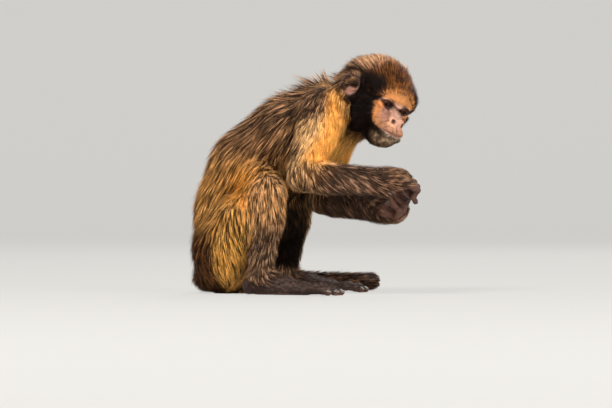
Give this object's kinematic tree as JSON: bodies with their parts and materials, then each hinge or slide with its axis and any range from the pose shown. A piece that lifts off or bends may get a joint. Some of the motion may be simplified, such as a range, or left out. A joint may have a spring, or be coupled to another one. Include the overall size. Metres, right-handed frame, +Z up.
{
  "type": "capuchin monkey",
  "caption": "Life-size still model of a golden-bellied capuchin monkey, seated with knees drawn up, head turned to its right and both forearms held out in front.",
  "frame": {"origin": "on the ground, under the middle of the part's outline seen from above", "axes": "+X the way the body faces, +Y the animal's left, +Z up"},
  "size_m": [0.2902, 0.2724, 0.277],
  "materials": {
    "coat_back": "long glossy hair, dark brown brindled with orange-tan",
    "coat_gold": "soft hair, golden buff brindled with black",
    "coat_dark": "soft hair, brown-black",
    "coat_head": "short soft hair, brown with a pale sheen",
    "bare_skin": "bare or thinly haired skin, satin",
    "eye": "wet gloss, amber-brown iris with a black rim"
  },
  "bodies": {
    "root": {"trunk": "coat_back", "neck": "coat_gold", "head": "coat_head", "ear_left": "bare_skin", "ear_right": "bare_skin", "eye_left": "eye", "eye_right": "eye", "upper_arm_left": "coat_gold", "upper_arm_right": "coat_gold", "forearm_left": "coat_dark", "forearm_right": "coat_dark", "hand_left": "bare_skin", "hand_right": "bare_skin", "thigh_left": "coat_back", "thigh_right": "coat_back", "shin_left": "coat_dark", "shin_right": "coat_dark", "foot_left": "bare_skin", "foot_right": "bare_skin", "tail_base": "coat_dark", "tail_middle": "coat_dark", "tail_end": "coat_dark", "tail_tip": "coat_dark"}
  },
  "joints": []
}
